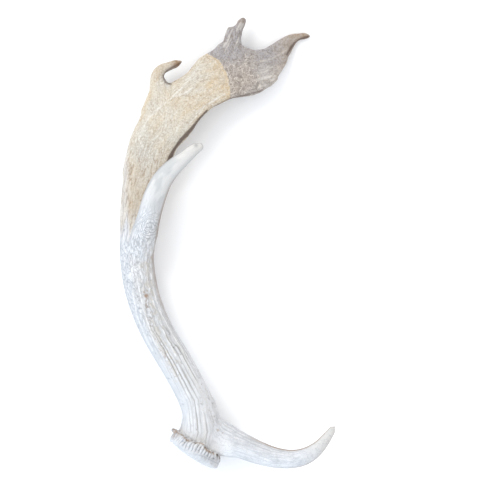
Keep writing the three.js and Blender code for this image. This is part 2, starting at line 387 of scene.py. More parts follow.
surface = openvdb.FloatGrid()
surface.transform = grid_step
surface.background = 3 * VOXEL
surface.copyFromArray(np.clip(bone, -3 * VOXEL, 3 * VOXEL), ijk=grid_start)
surface.gridClass = openvdb.GridClass.LEVEL_SET
points, quads = surface.convertToQuads(isovalue=SWELL)
quads = quads[:, ::-1].astype(np.int64)


def shell_of_each(points, quads):
    """The number of the closed shell that each corner belongs to."""
    shell = np.arange(len(points))
    while True:
        least = shell[quads].min(1)
        joined = shell.copy()
        np.minimum.at(joined, quads.ravel(), np.repeat(least, 4))
        joined = joined[joined]
        if (joined == shell).all():
            return shell
        shell = joined


# Small bubbles between the pearls are left out: the bone has one outside and nothing within.
shell = shell_of_each(points, quads)
outside = shell == np.bincount(shell).argmax()
quads = quads[outside[quads[:, 0]]]
quads = (np.cumsum(outside) - 1)[quads]
points = points[outside]

# ---------------------------------------------------------------------------------------------
# How the bone grew. Blood vessels ran along each limb under the velvet and left the bone grooved
# lengthwise; at a fork the grooves of the beam bend over into the tine. Each line below is the middle
# of a limb, from its root to its tip: x, y, z and half its width.

growth = {
    "beam": (
        (-39, -235, 29, 24), (-31, -208, 29, 21), (-34.6, -173, 28, 18), (-57, -132, 26.7, 17.5),
        (-77, -98, 24, 17), (-92, -62, 20, 17), (-99, -25, 16, 17), (-99.3, 12, 15.4, 17)),
    "palm": (
        (-99.3, 12, 15.4, 17), (-93, 63, 19.7, 22), (-80.5, 107, 26.7, 26), (-59, 144, 31.7, 30),
        (-27, 169.8, 31.2, 24), (7.2, 188.3, 25.8, 28), (37.8, 192.9, 17.8, 22), (57.2, 208.5, 10.2, 12)),
    "brow_tine": (
        (-8, -213, 30.5, 9), (6, -219.5, 31.5, 14), (26, -227.2, 34.2, 13), (48, -234.7, 38.2, 11.4),
        (71, -237.3, 43.2, 10), (90, -232, 48.2, 8.8), (110.4, -212.5, 54.7, 4.8),
        (118.4, -200.9, 57.7, 2.9)),
    "trez_tine": (
        (-96, -16, 22, 10), (-93.3, -5.7, 25.7, 15), (-89.8, 13.3, 34.2, 14), (-79.8, 49.3, 50.2, 12.4),
        (-64, 77.8, 62.2, 10.2), (-45.2, 95.3, 69.7, 8), (-29.2, 107.7, 73.7, 4.7)),
    "back_tine": (
        (-64, 146, 29.7, 18), (-75.4, 174, 25.2, 10), (-76.8, 184, 23.7, 7.3), (-72.6, 191, 23.2, 5.8),
        (-57.8, 196.7, 23.7, 4.2), (-50.3, 200, 24.7, 2)),
    "upper_speller": (
        (1, 200, 25.7, 10), (2.7, 210.8, 23.7, 15), (5.8, 222.3, 21.7, 9.7), (8.8, 233.7, 19.7, 8.6),
        (18.2, 248.3, 16.7, 2)),
    "end_speller": (
        (55.2, 205.9, 11.2, 12), (68.4, 221.9, 6, 8), (79.2, 227.7, 4.4, 4), (91.2, 228.3, 3.8, 2)),
    "brow_crotch": (
        (-24, -160, 33, 9), (-19.9, -184, 34, 12), (-12, -197, 35, 12), (4, -207, 36, 12), (28, -216, 36, 9)),
}


FLOW_STEP = 4.0  # the grid of the bone's grain, in millimetres
flow_low = np.array(cad_low) / MM - MARGIN
flow_shape = np.ceil((np.array(cad_high) / MM + MARGIN - flow_low) / FLOW_STEP).astype(int) + 1
flow_points = np.stack(np.meshgrid(*[np.arange(n) for n in flow_shape], indexing="ij"), -1)
flow_points = (flow_points.reshape(-1, 3) * FLOW_STEP + flow_low).astype(np.float32)
flow = np.zeros((len(flow_points), 3, 3), np.float32)
for line in growth.values():
    distance, way, _, width, _ = nearest_on(flow_points, line)
    weight = np.exp(-1.5 * (distance / width) ** 2) + 1e-6 / (1 + distance)
    flow += weight[:, None, None] * way[:, :, None] * way[:, None, :]
flow /= np.trace(flow, axis1=1, axis2=2)[:, None, None]
flow = flow.reshape(*flow_shape, 9)


def between(table, at):
    """A table's values at places between its grid points."""
    top = np.array(table.shape[:3]) - 1.001
    at = np.clip(at, 0, top)
    whole = at.astype(np.int32)
    part = (at - whole).astype(np.float32)
    value = 0
    for corner in np.ndindex(2, 2, 2):
        weight = np.prod(np.where(corner, part, 1 - part), axis=1)
        found = table[tuple((whole + corner).T)]
        value = value + (weight[:, None] * found if found.ndim > 1 else weight * found)
    return value


def grain_way(places, guess):
    """The grain's way at each place, on the side of the guess."""
    tensor = between(flow, (places - flow_low) / FLOW_STEP).reshape(-1, 3, 3)
    for _ in range(3):
        guess = np.einsum("nij,nj->ni", tensor, guess)
        guess /= np.linalg.norm(guess, axis=1, keepdims=True) + 1e-9
    return guess


chance = np.random.default_rng(864)
NOISE_SIZE = 64
noise_values = chance.random((NOISE_SIZE,) * 3, np.float32) * 2 - 1
NOISE_TURN = np.array(Matrix.Rotation(0.7, 3, Vector((1, 2, 3))), np.float32)  # so that no grid shows


def noise(places, cell, seed):
    """Random values from -1 to 1 that change smoothly over about a cell, in millimetres."""
    at = places @ NOISE_TURN / cell + 19.37 * seed
    whole = np.floor(at).astype(np.int32)
    part = at - whole
    part = part * part * (3 - 2 * part)
    value = 0
    for corner in np.ndindex(2, 2, 2):
        weight = np.prod(np.where(corner, part, 1 - part), axis=1)
        value = value + weight * noise_values[tuple((whole + corner).T % NOISE_SIZE)]
    return value.astype(np.float32)


def grains(places, step, kinds):
    """Noise drawn out along the bone. Each kind is its cell, how far it is drawn out, and its seed."""
    found = [noise(places, cell, seed) for cell, _, seed in kinds]
    tensor = between(flow, (places - flow_low) / FLOW_STEP).reshape(-1, 3, 3)
    first = np.linalg.eigh(tensor)[1][:, :, 2].astype(np.float32)
    for side in (1, -1):
        at, way = places, first * side
        for n in range(1, math.ceil(max(reach for _, reach, _ in kinds) / step)):
            at = at + way * step
            way = grain_way(at, way)
            for which, (cell, reach, seed) in enumerate(kinds):
                if n * step < reach:
                    weight = math.cos(0.5 * math.pi * n * step / reach) ** 2
                    found[which] = found[which] + weight * noise(at, cell, seed)
    return [(value - value.mean()) / value.std() for value in found]


# The surface's own facts: its normals, how near it lies to each solid piece, and its grains.
def normals_of(points):
    """Each corner's normal, from the faces round it."""
    a, b, c, d = (points[quads[:, n]] for n in range(4))
    across = np.cross(c - a, d - b)
    normal = np.stack([np.bincount(quads.ravel(), np.repeat(across[:, axis], 4), len(points))
                       for axis in range(3)], 1)
    return (normal / (np.linalg.norm(normal, axis=1, keepdims=True) + 1e-9)).astype(np.float32)


LABEL_STEP = 2.0  # the grid on which the pieces are told apart
NEAR = 16.0       # how far from a piece its distance is measured
label_step = openvdb.createLinearTransform(voxelSize=LABEL_STEP)
label_low = np.floor((np.array(cad_low) / MM - MARGIN) / LABEL_STEP).astype(int)
label_shape = np.ceil((np.array(cad_high) / MM + MARGIN) / LABEL_STEP).astype(int) - label_low + 1
away = {}
for name, (node_corners, node_triangles) in solids.items():
    near_node = openvdb.FloatGrid.createLevelSetFromPolygons(
        node_corners, triangles=node_triangles, transform=label_step, halfWidth=NEAR / LABEL_STEP)
    values = np.empty(label_shape, np.float32)
    near_node.copyToArray(values, ijk=tuple(int(v) for v in label_low))
    away[name] = between(values, points / LABEL_STEP - label_low)
names = list(away)
distances = np.stack([away[name] for name in names], 1)


def belongs(*wanted, soft=4.0):
    """1 on these pieces and 0 on the others, changing over a soft zone in millimetres."""
    own = np.min([away[name] for name in wanted], axis=0)
    other = np.min([away[name] for name in names if name not in wanted], axis=0)
    return ramp(other - own, -soft, soft)


PALM_PIECES = ("palm", "back_tine", "upper_speller", "end_speller")
normals = normals_of(points)
x, y, _ = points.T
on_brow = belongs("brow_tine", soft=9)
on_trez = belongs("trez_tine", soft=5) * ramp(y, -20, 12)
on_palm = belongs(*PALM_PIECES, soft=4)
on_palm = np.clip(on_palm - on_trez, 0, 1)
on_beam = np.clip(1 - on_brow - on_trez - on_palm, 0, 1)
ring_out, ring_height, ring_bearing = coronet_coordinates(points)
ring_height = ring_height - coronet_rise(np.cos(ring_bearing) * ring_out)
on_coronet = (1 - ramp(ring_height, 11, 15)) * (1 - ramp(ring_out, 34, 38))
long_coarse, long_broad = grains(points, 3.0, ((2.7, 48, 1), (8.0, 48, 2)))
mid_fine, mid_net, short_worm = grains(points, 1.5, ((1.5, 16, 5), (3.2, 9, 6), (2.3, 3.4, 4)))
speck = noise(points, 1.7, 7)


along = {limb: nearest_on(points, line) for limb, line in growth.items()}


def to_right(limb):
    """How far to the right of a limb's middle each point lies, seen from above, in millimetres."""
    _, way, _, _, middle = along[limb]
    right = np.stack([way[:, 1], -way[:, 0]], 1)
    return ((points - middle)[:, :2] * right).sum(1) / (np.linalg.norm(right, axis=1) + 1e-6)


def side_of(limb):
    """How far each point lies across a limb: -1 at its left edge, seen from above, and 1 at its right."""
    return to_right(limb) / along[limb][3]


def turn_round(limb):
    """The bearing of each point round a limb's middle: 0 on its right, and a quarter turn at its top."""
    return np.arctan2(points[:, 2] - along[limb][4][:, 2], to_right(limb))


def past(limb):
    """How much of a limb's length lies behind each point, from 0 at the root to 1 at the tip."""
    passed = along[limb][2]
    return passed / passed.max()


def most(*shares):
    """The greatest of several shares at each point."""
    return np.max(shares, axis=0)


def spot(place_x, place_y, size, power=2):
    """1 at a place seen from above, and falling to 0 beyond about its size."""
    return np.exp(-(np.hypot(x - place_x, y - place_y) / size) ** power)


def furrow(value, width):
    """Narrow furrows where a grain changes sign."""
    return np.exp(-(value / width) ** 2)


def from_line(*line):
    """Each point's distance from a line drawn on the side that is up, seen from above."""
    flat = points.copy()
    flat[:, 2] = 0
    return nearest_on(flat, [(px, py, 0, 1) for px, py in line])[0] + 40 * (normals[:, 2] < 0)


def stroke(width, wobble, seed, *line):
    """A line drawn on the side that is up: 1 on it and 0 beside it."""
    apart = from_line(*line) + wobble * noise(points, 7, seed) + 0.3 * wobble * noise(points, 2.5, seed)
    return np.exp(-(apart / width) ** 2)


facing = normals[:, 2]
# Sides that slope away from the lamps; further down, painted shade is laid on them.
turned_off = ramp(0.68 - facing, 0, 0.36) * ramp(facing, -0.75, -0.3)
patch = 0.6 * noise(points, 26, 41) + 0.4 * noise(points, 12, 42)
net = most(furrow(noise(points, 4.6, 51) + 0.4 * noise(points, 2.3, 52), 0.055),
           0.7 * furrow(noise(points, 3.3, 53) + 0.3 * noise(points, 1.7, 54), 0.055))
brow_past, trez_past = past("brow_tine"), past("trez_tine")
crotch = np.exp(-(along["brow_crotch"][0] / 19) ** 2) * (1 - on_coronet)

# The beam: deep grooves up its front and right side from the coronet, a worn net of vessel marks
# higher up, and a smooth left side.
BEAM_FLUTES, BROW_FLUTES, TREZ_FLUTES = 14, 10, 11  # furrows to half a turn
WHORL = (-84, 19)  # the middle of the swirl at the trez tine's root
WHORL_PITCH = 5.6  # from one of its rounds to the next
beam_side = side_of("beam")
foot = 1 - ramp(y, -150, -70)
high_up = ramp(y, -120, -60)
left = ramp(-beam_side, 0.25, 0.85)
front = ramp(beam_side, -0.6, -0.2)
near_ring = 1 - ramp(ring_height, 15, 27)
deep = on_beam * (foot * (0.12 + 0.15 * front) + 0.28 * (1 - foot)) * (1 - 0.5 * near_ring)
worms = 0.9 * on_beam * (1 - foot) * ramp(-beam_side, -0.6, 0.0)
lines = on_beam * (0.35 + 0.2 * (1 - foot)) * (1 - 0.5 * left)
winding = 0.08 + 0.92 * ramp(y, -150, -60)
winding = winding * ((1.6 - 0.5 * on_trez) * noise(points, 8, 96) + 1.1 * noise(points, 3.2, 97))
whorl = ramp(spot(*WHORL, 18) * ramp(facing, -0.3, 0.2), 0.25, 0.7)
from_whorl = (points - np.array((*WHORL, 50), np.float32)) * (1, 1, 0.5)
swirl = 2 * math.pi / WHORL_PITCH * np.linalg.norm(from_whorl, axis=1)
swirl = swirl + np.arctan2(y - WHORL[1], x - WHORL[0]) + 3.0 * noise(points, 6, 98)
flute_phase = BEAM_FLUTES * turn_round("beam") * (1 - on_trez) * (1 - on_brow)
flute_phase = flute_phase + TREZ_FLUTES * turn_round("trez_tine") * on_trez
flute_phase = flute_phase + BROW_FLUTES * turn_round("brow_tine") * on_brow
flute_phase = flute_phase * (1 - whorl) + swirl * whorl + 0.4 * long_broad + 0.3 * long_coarse + winding
ring_across = np.cos(ring_bearing) * ring_out
ring_top = 13 + 4 * np.exp(-((ring_across - 2) / 5) ** 2) * (ring_bearing > 0)
ringed = (ring_height < ring_top + 1) & (ring_out < 36) & (ring_out > 23)
tooth_phase = CORONET_TEETH / 2 * ring_bearing + 0.5 * math.pi + 1.2 * noise(points, 5, 74)
flute_wave = np.sin(np.where(ringed, tooth_phase, flute_phase))
fluted = on_beam * (0.5 + 0.5 * front) * (1 - ramp(crotch, 0.3, 0.9)) * (1 - 0.35 * high_up)
fluted = fluted * (1 - 0.55 * near_ring)
fluted = fluted * (0.4 + 0.6 * ramp(0.5 * long_coarse + 0.7 * noise(points, 22, 94), -1.0, 0.3))
flutes = fluted * furrow(flute_wave, 0.5) * (1 - 0.7 * high_up)

RIB_LINES = (
    ((-89, -10), (-89.3, -21.5), (-87.2, -41.8), (-81.1, -66.1), (-74.1, -86.3), (-66, -104.6), (-56, -124)),
    ((-98.4, -39.8), (-95.3, -58), (-91.3, -74.2), (-85.2, -92.5), (-80.2, -106.7), (-70, -124)),
    ((-84, -4), (-84, -25), (-82.1, -43.9), (-78.2, -62), (-72, -78.3), (-61.9, -96.5), (-55.9, -106.7),
     (-44, -125)),
    ((-104, -52), (-99, -80), (-91, -100), (-82, -118)),
)


def rib_strokes(width):
    """The pale ribs that stand between the beam's grooves, drawn to a width."""
    return on_beam * most(*[stroke(width, 0.5, 91 + n, *line) for n, line in enumerate(RIB_LINES)])


ribs = rib_strokes(1.1)
flanks = rib_strokes(2.6) * (1 - ribs)
dirt_line = stroke(3.4, 1.5, 93, (-84.8, 19.8), (-87, -18.7), (-85, -46), (-89, -62), (-82.6, -90),
                   (-71, -120), (-56, -146))
# A brown stain along a line up the beam, and painted shade: brown on the beam's right side where it turns
# from the light.
brown_stain_and_shade = most(0.48 * dirt_line * on_beam * furrow(short_worm + 0.5 * speck, 0.3),
             0.42 * on_beam * turned_off * ramp(y, -110, -50) * (beam_side > 0))
# Brown spots: x, y, size and strength.
BROWN_SPOTS = ((-89, -58, 2.3, 0.85), (-91, -54, 1.1, 0.6), (-88, -52.5, 1.1, 0.6), (-89, -68.5, 1.3, 0.55),
               (-10, -205.5, 1.6, 0.5), (-5, -208.5, 1.2, 0.4))
for spot_x, spot_y, spot_size, strength in BROWN_SPOTS:
    apart = np.hypot(x - spot_x, y - spot_y) + 0.5 * noise(points, 2, 81)
    brown_stain_and_shade = most(brown_stain_and_shade, strength * np.exp(-(apart / spot_size) ** 4) * (facing > 0.2))
warm_line = stroke(8, 2, 62, (-86, 10), (-87, -20), (-86, -50), (-80, -85), (-68, -115), (-52, -145))
beige = most(0.28 * on_beam * foot * ramp(long_coarse + 0.6 * speck, 0.0, 1.4)
             * ramp(beam_side, -0.6, 0),
             0.75 * on_beam * ramp(short_worm + 0.5 * speck, 0.2, 1.2) * warm_line,
             0.5 * crotch * ramp(net + 0.4 * speck, 0.15, 0.8))

# The brow tine: the beam's grooves run out along its top edge, then fine lines, then a polished tip.
tine_side = side_of("brow_tine")
upper = ramp(-tine_side, 0.1, 0.8)
# Painted light: at the brow's root, in the hollow by the coronet, the marks are thinned and the bone is
# lightened to lift its shade.
brow_root_lightened = spot(-5, -226, 13, power=4) * ramp(facing, -0.2, 0.2)
deep = most(deep, 0.65 * crotch * ramp(patch, -1.0, 0.4))
deep = deep + 0.1 * on_brow * (1 - ramp(brow_past, 0.25, 0.7)) * (1 - crotch)
lines = lines + on_brow * (0.4 - 0.3 * ramp(brow_past, 0.5, 0.9))
brow_flutes = 0.8 * on_brow * (0.35 + 0.65 * upper) * (1 - ramp(brow_past, 0.4, 0.85))
fluted = fluted + brow_flutes * (1 - 0.4 * crotch)
deep, lines, beige, fluted = (part * (1 - 0.85 * brow_root_lightened) for part in (deep, lines, beige, fluted))
# Painted shade: brown on the brow tine's edges that turn from the light, strongest on its upper edge.
brown_stain_and_shade = most(brown_stain_and_shade, 0.75 * on_brow * turned_off * ramp(brow_past, 0.12, 0.4) * (tine_side < 0),
             0.4 * on_brow * turned_off * ramp(brow_past, 0.45, 0.7) * (tine_side >= 0))
beige = most(beige, 0.3 * on_brow * ramp(brow_past, 0.65, 0.95))

# The trez tine: swirled at its root and polished from there on, with a bruise at its tip.
trez_side = side_of("trez_tine")
trez_root = 1 - ramp(trez_past, 0.25, 0.55)
deep = deep + 0.2 * on_trez * trez_root
worms = worms + 0.8 * on_trez * trez_root
lines = lines + on_trez * (0.15 + 0.45 * trez_root)
fluted = fluted + on_trez * trez_root * (0.8 + 0.2 * whorl)
beige = most(beige, 0.3 * on_trez * ramp(trez_past, 0.7, 1.0),
             0.5 * on_trez * trez_root * ramp(trez_side, -0.2, 0.6)
             * ramp(mid_fine + 0.5 * speck, 0.2, 1.2))
# Darker bone: a random mottle up the polished trez tine, and painted shade on the trez tine's right side and
# the beam's left side. The coronet is darkened a little as well.
mottle_and_shade = most(0.85 * ramp(long_broad + 0.4 * mid_net, -0.2, 1.3) * on_trez * (1 - trez_root),
             0.6 * on_trez * ramp(trez_side, 0.35, 0.9) * (facing > -0.2),
             0.32 * left * on_beam, 0.25 * on_coronet)
# Painted shade: brown on the trez tine's right side where it turns from the light.
brown_stain_and_shade = most(brown_stain_and_shade, 0.45 * on_trez * turned_off * (1 - ramp(trez_past, 0.5, 0.9)) * (trez_side > 0))
bruise = 0.6 * spot(-34, 107, 2.4) * on_trez * (facing > 0)

# The palm and the back tine: tan, with pale veins, and painted shade down the inner edge and the other edges
# turned from the light.
deep = deep + on_palm * (0.12 + 0.15 * (1 - ramp(y, 40, 110)))
worms = worms + 0.35 * on_palm
lines = lines + on_palm * (0.4 + 0.3 * (1 - ramp(y, 60, 130)))
lines = lines + 0.5 * on_palm * ramp(y, 212, 222) * (x < 42)
tan_line = y + 12 * long_broad + 6 * long_coarse + 5 * mid_net
tan_ground = np.clip(1.3 * belongs(*PALM_PIECES, soft=10) - on_trez, 0, 1)
pale_strip = ramp(-x, 106, 112) * (1 - ramp(y, 90, 128))
tan = ramp(tan_line, -6, 42) * tan_ground * (1 - 0.45 * pale_strip)
deep = deep * (1 - 0.8 * pale_strip * on_palm)
# Where the tan gives way to the grey: y, then x.
GREY_EDGE = ((150, 3.4), (159.5, 3.2), (170.5, 3.2), (187, -0.1), (201.3, -8.9), (209, -23.2), (214, -38))
grey_line = x - np.interp(y, *zip(*GREY_EDGE)) + 0.7 * noise(points, 4, 31) + 0.4 * noise(points, 1.6, 32)
grey = ramp(grey_line, -0.7, 0.9) * on_palm * ramp(y, 140, 146)
grey = grey * (1 - 0.3 * ramp(x, 42, 82))
orange = 0.08 + 0.5 * patch + 0.45 * ramp(grey_line, -60, -5) + 0.5 * ramp(grey_line, -5, -1)
orange = orange + 0.45 * spot(-46, 152, 15) + 0.4 * (1 - ramp(y, 60, 115))
orange = orange + 0.35 * stroke(3.5, 1.5, 61, (-104, 110), (-99, 130), (-92, 148), (-86, 160), (-80, 176))
orange = np.clip(orange + 0.12 * mid_net + 0.2 * ramp(y, 165, 195) * (x < -60), 0, 1)
veins = most(
    stroke(0.95, 0.9, 55, (-91.8, 128.4), (-85.6, 138.6), (-79.3, 144.1), (-73, 150.4), (-65.1, 156.7),
           (-57.3, 161.4), (-47.8, 163.8), (-41.6, 168.5), (-36.1, 172.1)),
    0.8 * stroke(0.9, 1.0, 56, (-98.1, 117.4), (-91.8, 128.4)),
    0.9 * stroke(0.9, 0.9, 57, (-60, 160), (-52.6, 167.7), (-44.7, 176.4), (-38.5, 184.2), (-33, 192.9)),
    0.8 * stroke(0.8, 0.6, 58, (-97.3, 114.3), (-93.5, 107.9), (-91.1, 102.4)),
    1.3 * stroke(0.9, 0.5, 59, (-33.7, 142.6), (-27.5, 148.1), (-19.6, 153.6), (-7.8, 160.6), (-2.3, 163.8)),
    1.1 * stroke(0.7, 0.5, 60, (-46, 125), (-39.2, 133.1), (-33.7, 139.4), (-27.5, 144.9)))
veins = np.clip(0.9 * veins + 0.25 * furrow(mid_net, 0.12) * ramp(y, 70, 110), 0, 1)
vein = tan * (1 - grey) * veins
ashen = most(np.exp(-(np.hypot((x + 92) / 14, (y - 100) / 24)) ** 2) * (0.6 + 0.4 * patch),
             0.9 * stroke(4.5, 1.5, 64, (-58, 193), (-64, 187), (-68, 180), (-66, 174)) * (facing > 0))
streaks = on_palm * tan * (1 - ramp(y, 80, 125)) * furrow(mid_fine + 0.3 * speck, 0.36)
speckles = on_palm * tan * (1 - grey) * furrow(short_worm + 0.4 * speck, 0.3)
speckles = speckles * ramp(noise(points, 6, 34), -0.4, 0.5)
lit_rim = ramp(x, 32, 48) * (1 - ramp(y, 200, 212))
# Painted shade, dark brown: a band down the palm's inner edge, its underside, its lower edge, the hook's
# inner edge and the end speller's edge. The lit rim on the right gets less of it.
inner_edge = from_line((-74, 76), (-64, 89), (-60.5, 97.5), (-50, 113.5), (-40, 124), (-29, 138), (-22, 145))
rim_width = np.interp(y, (80, 100, 125, 145), (2.9, 2.6, 2.1, 1.1))
dark_rim = 1 - ramp(inner_edge + 0.4 * noise(points, 4, 33), rim_width - 0.7, rim_width + 0.7)
dark_rim = on_palm * dark_rim * (y > 74)
under_rim = 0.7 * on_palm * (1 - ramp(facing, -0.5, 0.1)) * ramp(y, 70, 90)
under_rim = under_rim * (1 - 0.5 * grey) * (1 - 0.9 * lit_rim)
lower_edge = from_line((-24, 143), (-12, 151), (3, 158.5), (20, 162.5), (36, 167), (47, 173), (54, 180.5),
                       (61, 191), (67.5, 206))
lower_rim = on_palm * (1 - ramp(lower_edge, 0.4, 1.6)) * ramp(x, -24, -10) * (1 - 0.9 * lit_rim)
hook_edge = stroke(1.3, 0.4, 98, (-51, 198.3), (-58, 194.5), (-65.9, 189.9), (-70, 183), (-68, 176.8),
                   (-62, 175))
end_edge = stroke(1.3, 0.4, 99, (66, 208), (70.1, 214.6), (74.5, 220.7), (81.4, 225.1), (89.2, 227.6))
edges = on_palm * most(0.8 * hook_edge, 0.9 * end_edge)
palm_edge_shade = np.clip(0.85 * dark_rim + 0.6 * under_rim + 0.55 * lower_rim + 0.9 * edges, 0, 1)
beige = most(beige, 0.3 * on_palm * (1 - ramp(y, 60, 105)) * ramp(x, -112, -106))

# The end of the palm and its two spellers: stained grey, with fine pale veins and dark tips.
fold = stroke(0.9, 0.8, 95, (37, 200), (50, 203), (64, 212))
grey_vein = most(0.3 * grey * furrow(mid_net, 0.14) * ramp(facing, -0.2, 0.4), 0.6 * grey * fold)
cool = np.clip(0.35 + 0.5 * noise(points, 20, 61) + 0.7 * ramp(y, 192, 210), 0, 1) * grey
# Paler grey: a painted highlight on a patch of the palm's end and on the lit rim where it slopes away, and a
# pale strip below the upper speller.
pale = most(1.2 * spot(46, 183, 12) * (0.3 + 0.7 * ramp(mid_fine + 0.6 * speck, -0.5, 0.7)),
            0.8 * lit_rim * turned_off,
            0.85 * on_palm * ramp(y, 212, 220) * (x < 40) * ramp(mid_fine, 0.2, 1.2))
hook_past = past("back_tine") * (along["back_tine"][0] < 14)
tips = on_palm * most(0.25 * ramp(hook_past, 0.4, 0.7), 1.35 * ramp(hook_past, 0.72, 0.95),
                      0.5 * ramp(y, 236, 248), 0.44 * ramp(x, 46, 84),
                      ramp(x, 62, 88) * ramp(mid_fine + 0.5 * speck, -0.9, 0.5))
brown_stain_and_shade = most(brown_stain_and_shade, 0.7 * tips * (0.6 + 0.4 * ramp(speck, -0.5, 0.5)), 0.4 * streaks,
             0.09 * on_palm * (1 - ramp(y, 60, 110)), 0.32 * speckles)

# The coronet: stained where dirt and blood dried in its clefts and above its pearls.
in_ring = np.clip(points / VOXEL - grid_low - [part.start for part in ring], 0, None)
# The clefts between the pearls are darkened further on as painted shade; only their upper part also takes the
# brown of dried blood and dirt.
cleft = ramp(-between(plain_ring, in_ring), 0.5, 2.0) * on_coronet
cleft = cleft * (0.3 + 0.7 * ramp(ring_height, 4, 7)) * (ring_out < 34)
# Round the ring the flute lines mark the teeth: painted shade in the clefts between the pearls, and painted
# highlight on their crests.
above_lip = ring_height - coronet_lip(ring_across)
toothed = ramp(above_lip, 1, 4) * (1 - ramp(ring_height - ring_top, -0.5, 1))
toothed = toothed * ringed * (0.45 + 0.55 * ramp(noise(points, 6, 75), -0.4, 0.5))
fluted = fluted * (1 - on_coronet) + toothed
# A dark line where the lip meets the pearls: painted shade in the crease.
lip_line = np.exp(-((above_lip - 0.9) / 0.6) ** 2) * ramp(ring_across, -4, 8) * ringed
above = np.exp(-((ring_height - ring_top - 2.0 * noise(points, 6, 71)) / 1.3) ** 2) * (ring_out < 33)
dried = above * (0.15 + 0.85 * ramp(noise(points, 3.5, 72), -0.25, 0.35))
dried = dried + 0.7 * cleft * ramp(ring_height, 7, 11)
knob = spot(-57, -207, 5.5) * ramp(noise(points, 2.5, 73), -0.55, 0.15)
brown_stain_and_shade = most(brown_stain_and_shade, 0.8 * np.clip(dried, 0, 1), 0.8 * knob)
dusty = np.exp(-((ring_height - 18) / 5) ** 2) * (ring_out < 30)
beige = most(beige, 0.35 * dusty * ramp(patch, -0.6, 0.5))

# Relief: grooves, scratches, pits and dents are cut in, and the ribs stand a little proud.
deep = np.clip(deep, 0, 1) * (1 - 0.9 * on_coronet)
worms = np.clip(worms, 0, 1) * (1 - on_coronet)
lines = np.clip(lines, 0, 1) * (1 - 0.8 * on_coronet)
groove = np.clip(1.15 * deep * furrow(long_coarse, 0.4) * (0.8 + 0.4 * noise(points, 9, 9)), 0, 1)
groove = most(groove, 0.8 * flutes) * (1 - ribs)
scratch = 0.8 * lines * furrow(mid_fine, 0.34) + 0.9 * worms * furrow(short_worm, 0.34)
scratch = np.clip(scratch, 0, 1) * (1 - ribs)
pit = ramp(noise(points, 1.7, 21) + 0.35 * noise(points, 9, 22), 0.6, 0.85) * (on_beam + 0.5 * on_palm)
relief = 1.2 * groove + 0.45 * scratch - 0.5 * deep * np.clip(long_broad, -1.5, 1.5)
relief = relief - 0.35 * ribs + 0.45 * pit
relief = relief + 2.2 * on_palm * spot(-54, 103, 9)  # a dent in the palm
relief = relief + 1.2 * on_trez * spot(-49, 101, 8)  # and one in the trez tine
relief = relief + 0.1 * speck * lines + 0.2 * noise(points, 2.2, 12) * on_coronet

# Painted shade: the grooves, pits, clefts between the pearls and the crease above the lip are darkened. So
# are the trez tine's edges, the brow tine's lower edge and the beam's left edge where they turn from the
# light. The trez tine's bruise is darkened with them.
edge_shade = 0.55 * on_trez + 0.3 * on_beam * (beam_side < 0) + 0.35 * on_brow * (tine_side >= 0)
hollow = np.clip((0.75 - 0.2 * foot * on_beam) * groove + 0.5 * pit, 0, 1)
hollow = hollow * (1 - 0.5 * grey) * (1 - 0.3 * tan)
hollow = most(hollow, 0.75 * cleft, 0.5 * lip_line, bruise, edge_shade * turned_off * (1 - on_coronet))
# Painted cool shade: the dark marks turn blue on the beam's left side, on the tines and round the coronet's
# foot, where the blue lamp lights the bone.
cool_shade_tint = left + 0.5 * on_trez + 0.25 * (1 - foot) * on_beam + 0.7 * on_brow
cool_shade_tint = cool_shade_tint + on_coronet * (1 - 0.7 * ramp(ring_height, 5, 9))
gloss = on_trez * ramp(trez_past, 0.3, 0.6) + on_brow * ramp(brow_past, 0.6, 0.9)
worn = on_beam * (0.18 + 0.52 * (1 - foot)) + on_trez * (0.12 + 0.4 * trez_root) + 0.5 * on_brow
facts = {"lines": lines * (1 - 0.7 * ribs), "worms": worms * (1 - 0.7 * ribs), "flutes": fluted,
         "worn": worn * (1 - on_coronet), "mottle_and_shade": mottle_and_shade, "ashen": ashen,
         # The ribs fact also lightens the brow's root and the beam's foot: painted light over the shade of
         # their hollows.
         "ribs": ribs + 0.8 * brow_root_lightened + 0.3 * foot * on_beam * (1 - on_coronet), "flanks": flanks,
         "hollow": hollow, "tan": tan, "grey": grey, "orange": orange, "vein": vein, "grey_vein": grey_vein,
         "cool": cool, "cool_shade_tint": cool_shade_tint, "pale": pale, "brown_stain_and_shade": brown_stain_and_shade, "beige": beige, "palm_edge_shade": palm_edge_shade,
         "gloss": gloss}
facts = {name: np.clip(values, 0, 1) for name, values in facts.items()}
facts |= {"fine_grain": mid_fine, "worm_grain": short_worm, "flute_wave": flute_wave}

turned = normals[quads].mean(1)
displaced = points - normals * relief[:, None]
displaced = np.clip(displaced, np.array(cad_low) / MM, np.array(cad_high) / MM)
normals = normals_of(displaced)
